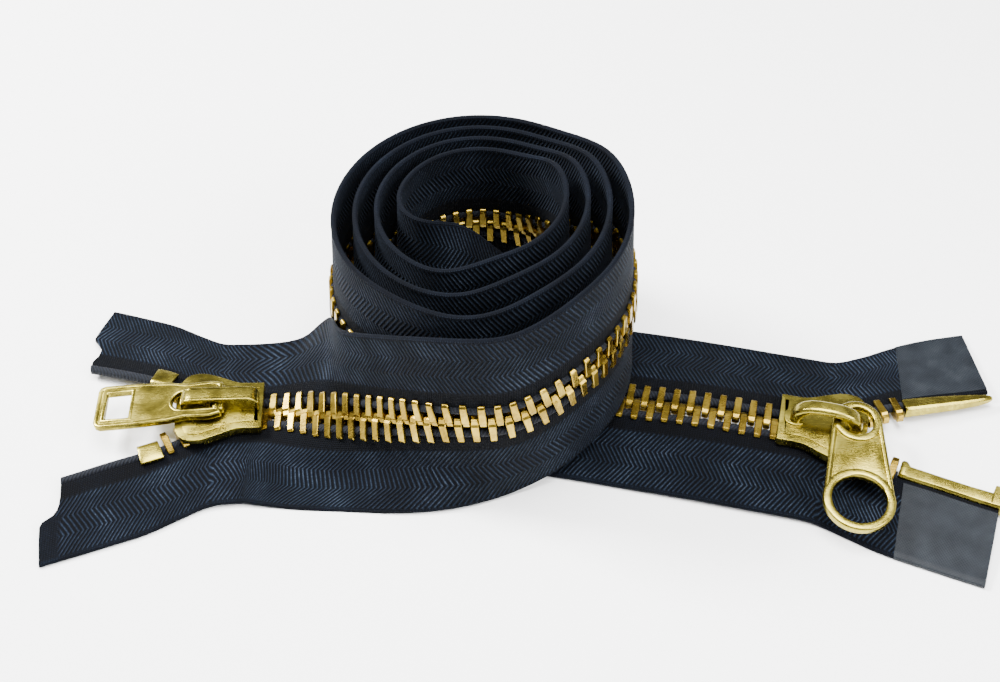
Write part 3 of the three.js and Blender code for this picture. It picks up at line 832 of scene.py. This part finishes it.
def slider_shells():
    """Two plates joined by the wedge, with lips down the sides of the upper one."""
    outline = slider_outline()
    shells = [
        finished(solid(outline, 0, PLATE_LOW), 0.28),
        finished(solid(outline, ROOF_Z, TOP_Z), 0.34, 4),
        finished(solid(inset(outline, 1.5), TOP_Z - 0.5, TOP_Z + 0.22), 0.2),
    ]
    lip = [(x, y) for x, y in outline[len(outline) // 2:] if x < 2.2]
    lip = lip + [(x, y - 0.8) for x, y in reversed(lip)]
    for side in (1, -1):
        ring = [(x, y * side) for x, y in lip]
        shells.append(finished(solid(ring, FLANGE_Z, ROOF_Z + 0.4), 0.2))
    wedge = [(3.5, 0), (5.2, -1.0), (7.6, -1.2), (7.9, 0), (7.6, 1.2), (5.2, 1.0)]
    shells.append(finished(solid(wedge, PLATE_LOW - 0.2, ROOF_Z + 0.2), 0.2))
    return shells


CAP = dict(half=1.7, start=-9.0, end=6.6, low=6.2, top=9.9, wall=0.7)


def build_slider_a():
    shells = slider_shells()
    for x0, x1 in ((3.6, 5.6), (-8.0, -6.6)):
        lug = [(x0, -0.7), (x1, -0.7), (x1, 0.7), (x0, 0.7)]
        shells.append(finished(solid(lug, TOP_Z - 0.2, 8.4), 0.15))
    on_slider("slider_a_body_cast", joined(shells), "a", "slider_a", ["slider_a_body"])

    c = CAP
    side = [
        (c["start"], c["low"]), (c["end"], c["low"]), (c["end"], 8.5), (c["end"] - 0.5, 9.3),
        (c["end"] - 1.3, 9.75), (c["end"] - 2.4, c["top"]), (c["start"] + 2.4, c["top"]),
        (c["start"] + 1.3, 9.75), (c["start"] + 0.5, 9.3), (c["start"], 8.5),
    ]
    tx, tz = TRUNNION
    cheeks = []
    for y in (-c["half"], c["half"] - c["wall"]):
        cheek = solid(side, -y - c["wall"], -y, [circle(tx, tz, 1.15, 24)], "y")
        cheeks.append(finished(cheek, 0.16))
    roof = [(x, z) for x, z in side if z >= 8.5]
    under = [(x * 0.93, z - 0.7) for x, z in reversed(roof)]
    crown = solid(roof + under, -c["half"], c["half"], (), "y")
    walls = []
    for x in (c["start"], c["end"] - c["wall"]):
        end = [(x, -c["half"]), (x + c["wall"], -c["half"]), (x + c["wall"], c["half"]),
               (x, c["half"])]
        walls.append(finished(solid(end, c["low"], 8.7), 0.16))
    cap = joined([finished(crown, 0.55, 4), *cheeks, *walls])
    on_slider("slider_a_cap_formed", cap, "a", "slider_a", ["slider_a_cap"])

    pin = [(-6.0, -0.5), (-4.4, -0.5), (-4.4, 0.5), (-6.0, 0.5)]
    tip = finished(solid(pin, ROOF_Z - 0.1, 8.3), 0.2)
    on_slider("slider_a_lock_pin_formed", tip, "a", "slider_a_lock", ["slider_a_lock_pin"])
    build_pull_a()


def build_pull_a():
    """Flat pull with a window at its tip, a raised rim and a fork round the cap."""
    length = 24.6
    half = [(-1.2, 4.0), (0.9, 4.6), (3.5, 4.55), (6.2, 4.35), (9.5, 5.0), (14, 5.35),
            (20, 5.5), (length - 1.4, 5.5), (length - 0.4, 5.1), (length, 4.1)]
    outline = [(x, -y) for x, y in half] + half[::-1]
    fork = [(-0.9, -2.4), (6.6, -2.4), *arc(6.6, 0, 2.4, -60, 60, 10), (6.6, 2.4), (-0.9, 2.4)]
    window = [(17.6, -3.5), (22.6, -3.4), (22.6, 3.4), (17.6, 3.5)]
    plate = finished(solid(outline, -0.62, 0.62, [fork, window]), 0.18)
    rim = finished(solid(outline, -0.78, 0.78, [inset(outline, 0.95)]), 0.3)
    frame_rim = finished(solid(inset(window, -0.75), -0.78, 0.78, [window]), 0.25)
    collar = finished(solid(inset(fork, -0.8), -0.75, 0.75, [fork]), 0.3)
    axle = finished(solid(circle(0, 0, 0.85, 20), -3, 3, (), "y"), 0.15)
    shell = joined([plate, rim, frame_rim, collar, axle])
    slope = Matrix.Rotation(rad(PULL_A_SLOPE), 3, "Y")
    shell = posed(shell, slope, (TRUNNION[0], 0, TRUNNION[1]))
    on_slider("pull_a_windowed", shell, "a", "pull_a", ["slider_a_pull"])


def build_slider_b():
    outer = [(-7.6, 5.8), (-7.5, 7.3), (-6.9, 8.9), (-5.6, 10.2), (-3.9, 10.95), (-2.0, 11.2),
             (0.5, 11.2), (2.6, 11.05), (4.5, 10.45), (5.9, 9.4), (6.8, 7.8), (7, 5.8)]
    inner = [(4.2, 5.8), (4.05, 7.4), (3.3, 8.6), (2.0, 9.35), (0.4, 9.6), (-2.0, 9.6),
             (-3.6, 9.3), (-4.7, 8.4), (-5.3, 7.2), (-5.4, 5.8)]
    arch = finished(solid(outer + inner, -1.6, 1.6, (), "y"), 0.85, 5)
    feet = []
    for x, long in ((-6.6, 1.9), (5.6, 2.1)):
        foot = rounded([(x - long, -1.3), (x, -2.1), (x + long, -1.3), (x + long, 1.3),
                        (x, 2.1), (x - long, 1.3)])
        feet.append(finished(solid(foot, TOP_Z - 0.3, TOP_Z + 0.55), 0.25))
    shell = joined([*slider_shells(), arch, *feet])
    on_slider("slider_b_body_cast", shell, "b", "slider_b", ["slider_b_body"])
    build_pull_b()


def build_pull_b():
    """Tapering pull: an eye round the bridge leg, two raised side rails and a round ring."""
    b = PULL_B
    outline = [*arc(0, 0, b["eye"], 100, 260, 22), *arc(b["ring_at"], 0, b["ring"], -105, 105, 40)]
    eye = circle(0, 0, b["eye_hole"])
    ring = circle(b["ring_at"], 0, b["ring_hole"], 56)
    plate = finished(solid(outline, -0.45, 0.45, [eye, ring]), 0.12)
    rim = finished(solid(outline, -0.85, 0.85, [inset(outline, 1.15)]), 0.5, 4)
    ring_out = circle(b["ring_at"], 0, b["ring"] + 0.02, 56)
    ring_rim = finished(solid(ring_out, -0.92, 0.92, [ring]), 0.6, 5)
    eye_rim = finished(solid(circle(0, 0, b["eye_hole"] + 1.6), -0.85, 0.85, [eye]), 0.5, 4)
    shell = joined([plate, rim, ring_rim, eye_rim])
    turn = Matrix.Rotation(rad(b["turn"]), 3, "Z") @ Matrix.Rotation(rad(b["slope"]), 3, "Y")
    shell = posed(shell, turn, (LEG_X, 0, b["z"]))
    on_slider("pull_b_ringed", shell, "b", "pull_b", ["slider_b_pull"])


# ---- stops, pins and films ----------------------------------------------------------------------
def clamp_section():
    """A strip bent round the edge of the tape, seen end on."""
    outer = [(5.2, 1.5), (3.8, 1.6), (2.0, 1.6), *arc(1.9, 0, 1.6, 100, 260, 12)]
    outer += [(2.0, -1.6), (3.8, -1.6), (5.2, -1.5)]
    inner = [(5.3, -0.75), (3.8, -0.95), (2.0, -0.95), *arc(2.0, 0, 0.95, 260, 100, 10)]
    inner += [(2.0, 0.95), (3.8, 0.95), (5.3, 0.75)]
    return outer + inner


def along_flap(name, end_name, sections, places, body_nodes, mat=None, bevel=0.2):
    """Sections, lists of (u, n), set square on a flap at places and joined into one solid."""
    count = len(sections[0])
    p, _, w, n = flap_frame(end_name, places, square=True)
    verts = [p[i] + w[i] * u + n[i] * v for i, sec in enumerate(sections) for u, v in sec]
    faces = tube_faces(len(sections), count)
    faces += [tuple(range(count)), tuple(range(len(verts) - count, len(verts)))]
    bm = bmesh.new()
    made = [bm.verts.new(v) for v in verts]
    for face in faces:
        bm.faces.new([made[k] for k in face])
    bmesh.ops.recalc_face_normals(bm, faces=bm.faces)
    verts, faces = finished(bm, bevel)
    obj = mesh_piece(name, verts, faces, mat or GOLD, 35)
    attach(obj, f"end_{end_name}")
    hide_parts(*body_nodes)
    return obj


def bar(inner, outer, half, low_n=0.0, corner=0.45):
    """A bar's section with chamfered corners."""
    k = min(corner, 0.45 * (outer - inner))
    return [
        (inner + k, -half + low_n), (outer - k, -half + low_n), (outer, -half + k + low_n),
        (outer, half - k + low_n), (outer - k, half + low_n), (inner + k, half + low_n),
        (inner, half - k + low_n), (inner, -half + k + low_n),
    ]


def build_stops():
    for name in ("a_far", "a_near"):
        start, end = ENDS[name]["stop"]
        places = np.linspace(start, end, 6)
        bow = [1 + 0.06 * math.sin(math.pi * i / 5) for i in range(6)]
        sections = [[(u, n * k) for u, n in clamp_section()] for k in bow]
        along_flap(f"stop_{name}_bent", name, sections, places, [f"top_stop_{name}"], None, 0.14)


def build_pins():
    places = [18.1, 18.6, 20, 26, 31, 34.5, 36.3, 37.2, 37.6]
    shapes = [(0.5, 3.65, 1.4), (0.45, 3.7, 1.45), (0.45, 3.7, 1.4), (0.6, 3.6, 1.3),
              (0.85, 3.4, 1.2), (1.05, 3.1, 1.05), (1.25, 2.9, 0.9), (1.5, 2.65, 0.7),
              (1.75, 2.4, 0.4)]
    sections = [bar(*shape) for shape in shapes]
    along_flap("insertion_pin_formed", "b_far", sections, places, ["insertion_pin"], None, 0.12)

    places = [16.1, 16.5, 17.2, 18.0, 24, 30, 34.3, 34.5, 37.2, 37.4]
    shapes = [(-0.2, 3.5, 1.25), (-0.35, 3.6, 1.5), (-0.3, 3.65, 1.55), (0.5, 3.65, 1.35),
              (0.6, 3.6, 1.3), (0.5, 3.6, 1.35), (0.4, 3.65, 1.4), (-1.4, 3.75, 1.6),
              (-1.5, 3.75, 1.6), (-1.3, 3.6, 1.4)]
    sections = [bar(*shape) for shape in shapes]
    along_flap("retaining_pin_formed", "b_near", sections, places, ["retaining_pin"], None, 0.12)


FILM_UNDER = 0.2                          # keeps the film's own underside inside the tape


def build_films():
    us = [float(u) for u in np.linspace(BEND - 0.4, HALF - 0.3, 14)] + [HALF + 0.1]
    rise = [0.5] * 13 + [0.58, 0.3]
    section = [(u, n + 0.06) for u, n in zip(us, rise)]
    section += [(u, FILM_UNDER - n) for u, n in reversed(section)]
    for name in ("b_far", "b_near"):
        end = ENDS[name]
        d = np.linspace(end["film"], end["length"] + 0.05, 22)
        points, normals, places = flap_grid(name, d, [u for u, _ in section])
        rows = points + normals * np.array([n for _, n in section])[None, :, None]
        count, sides = rows.shape[:2]
        faces = tube_faces(count, sides)
        faces += [tuple(range(sides)), tuple(range((count - 1) * sides, count * sides))]
        obj = facing_out(mesh_piece(f"film_{name}", rows.reshape(-1, 3), faces, FILM, 50))
        weave_map(obj, section, places)
        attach(obj, f"end_{name}")
        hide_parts(f"end_film_{name}")


# ---- floor, light and camera --------------------------------------------------------------------
def build_stage():
    floor_mat = material("floor", Roughness=0.9, Specular_IOR_Level=0.1)
    tone = ramp(floor_mat, noise(floor_mat, 3, 2), [
        (0.3, (0.93, 0.93, 0.93)), (0.7, (0.95, 0.95, 0.95)),
    ])
    into(floor_mat, "Base Color", tone)
    size = 3000
    corners = [(-size, -size, 0), (size, -size, 0), (size, size, 0), (-size, size, 0)]
    floor = mesh_piece("floor", corners, [(0, 1, 2, 3)], floor_mat)

    world = bpy.data.worlds.new("studio")
    bpy.context.scene.world = world
    world.use_nodes = True
    tree = world.node_tree
    coords = tree.nodes.new("ShaderNodeTexCoord")
    split = tree.nodes.new("ShaderNodeSeparateXYZ")
    shade = tree.nodes.new("ShaderNodeValToRGB")
    tree.links.new(coords.outputs["Generated"], split.inputs[0])
    tree.links.new(split.outputs[2], shade.inputs[0])
    tree.links.new(shade.outputs[0], tree.nodes["Background"].inputs[0])
    elements = shade.color_ramp.elements
    elements[0].position, elements[0].color = 0.0, (0.14, 0.14, 0.14, 1)
    elements[1].position, elements[1].color = 1.0, (0.85, 0.85, 0.85, 1)
    # Light and dark bands over the sky give the metal something to mirror.
    bands = ((0.12, 0.03), (0.3, 1.3), (0.48, 0.08), (0.7, 0.42), (0.8, 0.8), (0.92, 0.1))
    for position, level in bands:
        elements.new(position).color = (level, level, level, 1)
    tree.nodes["Background"].inputs[1].default_value = 1.25

    for name, where, size, power in (
        ("key", (-420, 170, 420), 160, 12.0),
        ("fill", (330, -240, 360), 260, 4.0),
        ("top", (0, 0, 620), 420, 14.0),
    ):
        lamp = bpy.data.lights.new(name, "AREA")
        lamp.size = size * MM
        lamp.energy = power
        obj = bpy.data.objects.new(name, lamp)
        obj.location = Vector(where) * MM
        obj.rotation_euler = (-obj.location).to_track_quat("-Z", "Y").to_euler()
        bpy.context.scene.collection.objects.link(obj)


def build_camera():
    data = bpy.data.cameras.new("camera")
    data.sensor_width = 36
    data.lens = 36 * VIEW_FOCAL / VIEW_WIDTH
    obj = bpy.data.objects.new("camera", data)
    back = Vector((0, -math.cos(rad(VIEW_ELEVATION)), math.sin(rad(VIEW_ELEVATION))))
    obj.location = place(back * VIEW_DISTANCE)
    obj.rotation_euler = (rad(90 - VIEW_ELEVATION), 0, 0)
    bpy.context.scene.collection.objects.link(obj)
    bpy.context.scene.camera = obj


build_camera()
build_stage()
build_teeth()
build_strips()
build_slider_a()
build_slider_b()
build_stops()
build_pins()
build_films()
